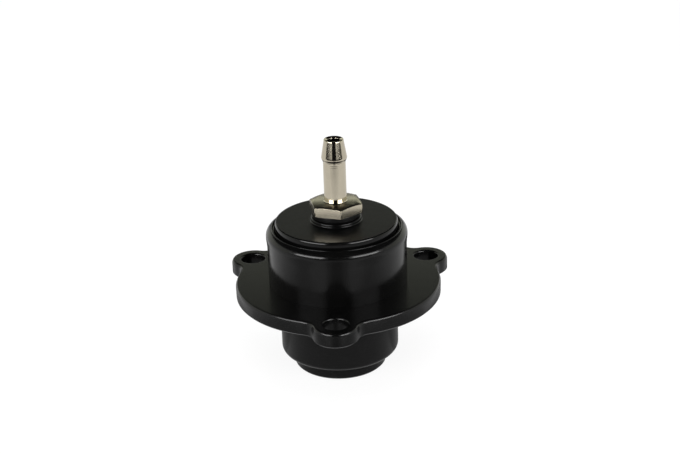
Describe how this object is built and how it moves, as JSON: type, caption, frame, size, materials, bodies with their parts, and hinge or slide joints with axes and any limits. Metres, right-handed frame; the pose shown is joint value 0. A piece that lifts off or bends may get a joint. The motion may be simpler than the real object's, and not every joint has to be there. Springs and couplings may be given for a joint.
{
  "type": "blow off valve",
  "caption": "Piston blow off valve: black housing with a lugged mounting flange, a capped spring chamber, a barbed hose nipple on top and a sprung piston whose nose closes the port.",
  "frame": {"origin": "centre of the flange's mounting face, its underside, on the valve's axis", "axes": "+Z along the valve's axis and out of the hose nipple, -Y through the front bolt lug"},
  "size_m": [0.0598, 0.0611, 0.0637],
  "materials": {
    "anodised_body": "black anodised, semi gloss",
    "anodised_cap": "black anodised, semi gloss, turned face",
    "anodised_piston": "hard anodised, satin",
    "nickel_plate": "bright nickel plate",
    "washer_rubber": "black, slightly shiny",
    "seal_rubber": "black, matt",
    "ring_steel": "blackened spring wire",
    "spring_steel": "drawn spring wire",
    "guide_plastic": "matt, low friction plastic"
  },
  "bodies": {
    "valve": {"valve_body": "anodised_body", "cap": "anodised_cap", "cap_seal": "seal_rubber", "retaining_ring": "ring_steel", "hose_nipple": "nickel_plate", "nipple_washer": "washer_rubber", "return_spring": "spring_steel", "flange_seal": "seal_rubber"},
    "piston_group": {"piston": "anodised_piston", "piston_seal": "seal_rubber", "piston_guide_ring": "guide_plastic"}
  },
  "joints": [
    {"name": "piston_slide", "type": "slide", "parent": "valve", "child": "piston_group", "axis": [0, 0, 1], "range_m": [0, 0.008], "stiffness_N_per_m": 1800, "springref_m": -0.014, "deforming": ["return_spring"]}
  ]
}
